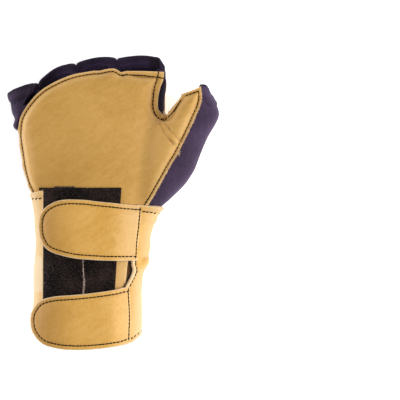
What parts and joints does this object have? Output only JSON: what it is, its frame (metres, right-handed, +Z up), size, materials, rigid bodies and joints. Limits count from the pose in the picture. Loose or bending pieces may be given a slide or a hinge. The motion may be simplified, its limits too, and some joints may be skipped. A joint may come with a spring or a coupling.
{
  "type": "impact glove",
  "caption": "Half-finger impact glove for the right hand: padded leather palm, stretch fabric back and thumb, and a leather wrist support closed by straps; it lies palm up.",
  "frame": {"origin": "on the surface that the glove lies on, under the middle of its bounding box", "axes": "+Y from the cuff's mouth to the fingers, +X towards the thumb, +Z up out of the palm"},
  "size_m": [0.1458, 0.1994, 0.0504],
  "materials": {
    "palm_leather": "soft tan grain leather, smooth and slightly waxy",
    "cuff_leather": "light tan grain leather with dark stitching",
    "stretch_knit": "dark purple matt stretch knit",
    "hook_tape": "black woven hook and loop tape"
  },
  "bodies": {
    "root": {"palm_panel": "palm_leather", "back_panel": "stretch_knit", "little_finger_hem": "stretch_knit", "ring_finger_hem": "stretch_knit", "middle_finger_hem": "stretch_knit", "index_finger_hem": "stretch_knit", "little_ring_web": "stretch_knit", "ring_middle_web": "stretch_knit", "middle_index_web": "stretch_knit", "thumb_hem": "stretch_knit", "thumb_patch": "cuff_leather", "cuff": "cuff_leather", "hook_tape_outer": "hook_tape", "hook_tape_inner": "hook_tape", "upper_loop_tape": "hook_tape", "lower_loop_tape": "hook_tape", "upper_strap": "cuff_leather", "lower_strap": "cuff_leather"}
  },
  "joints": []
}
